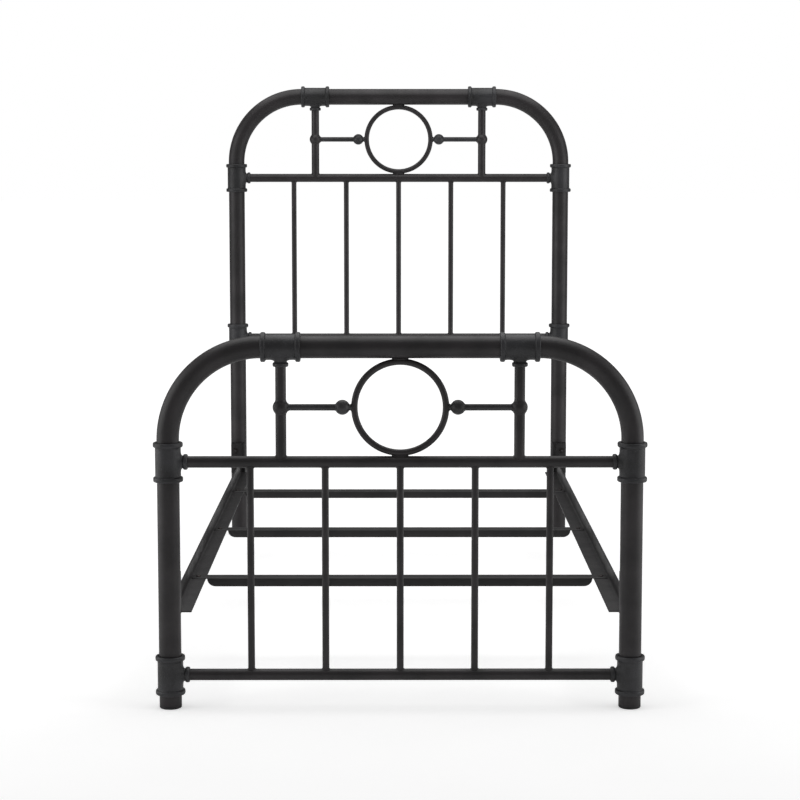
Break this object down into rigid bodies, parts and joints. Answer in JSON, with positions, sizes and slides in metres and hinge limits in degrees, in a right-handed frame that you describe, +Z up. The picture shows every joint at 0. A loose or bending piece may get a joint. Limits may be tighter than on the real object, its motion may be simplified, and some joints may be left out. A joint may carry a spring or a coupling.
{
  "type": "metal bed frame",
  "caption": "Black pipe-style iron bed frame: arched headboard and footboard with tees, rings and spindles, joined by angle-iron side rails and slats.",
  "frame": {"origin": "on the floor, in the middle of the bed's length and width", "axes": "+Z up, +Y from the footboard to the headboard, +X to the right as seen from the foot"},
  "size_m": [1.054, 2.034, 1.385],
  "materials": {
    "black_tube": "fine-textured satin black powder coat on steel tube",
    "black_rod": "fine-textured satin black powder coat on thin steel tube and rod",
    "black_casting": "matt charcoal powder coat over sand-cast metal",
    "black_steel": "satin black powder coat on rolled steel angle and plate",
    "black_plastic": "moulded black plastic"
  },
  "bodies": {
    "root": {"foot_glide_left": "black_plastic", "foot_post_left": "black_tube", "foot_bend_left": "black_tube", "foot_lower_tee_left": "black_casting", "foot_upper_tee_left": "black_casting", "foot_top_tee_left": "black_casting", "foot_upright_left": "black_rod", "foot_tie_rod_left": "black_casting", "foot_rail_bracket_left": "black_steel", "foot_glide_right": "black_plastic", "foot_post_right": "black_tube", "foot_bend_right": "black_tube", "foot_lower_tee_right": "black_casting", "foot_upper_tee_right": "black_casting", "foot_top_tee_right": "black_casting", "foot_upright_right": "black_rod", "foot_tie_rod_right": "black_casting", "foot_rail_bracket_right": "black_steel", "foot_top_rail": "black_tube", "foot_ring": "black_rod", "foot_upper_crossbar": "black_rod", "foot_lower_crossbar": "black_rod", "foot_baluster_1": "black_rod", "foot_baluster_2": "black_rod", "foot_baluster_3": "black_rod", "foot_baluster_4": "black_rod", "foot_baluster_5": "black_rod", "head_glide_left": "black_plastic", "head_post_left": "black_tube", "head_bend_left": "black_tube", "head_lower_tee_left": "black_casting", "head_upper_tee_left": "black_casting", "head_top_tee_left": "black_casting", "head_upright_left": "black_rod", "head_tie_rod_left": "black_casting", "head_rail_bracket_left": "black_steel", "head_glide_right": "black_plastic", "head_post_right": "black_tube", "head_bend_right": "black_tube", "head_lower_tee_right": "black_casting", "head_upper_tee_right": "black_casting", "head_top_tee_right": "black_casting", "head_upright_right": "black_rod", "head_tie_rod_right": "black_casting", "head_rail_bracket_right": "black_steel", "head_top_rail": "black_tube", "head_ring": "black_rod", "head_upper_crossbar": "black_rod", "head_lower_crossbar": "black_rod", "head_baluster_1": "black_rod", "head_baluster_2": "black_rod", "head_baluster_3": "black_rod", "head_baluster_4": "black_rod", "head_baluster_5": "black_rod", "side_rail_left": "black_steel", "side_rail_right": "black_steel", "slat_1": "black_steel", "slat_2": "black_steel", "slat_3": "black_steel"}
  },
  "joints": []
}
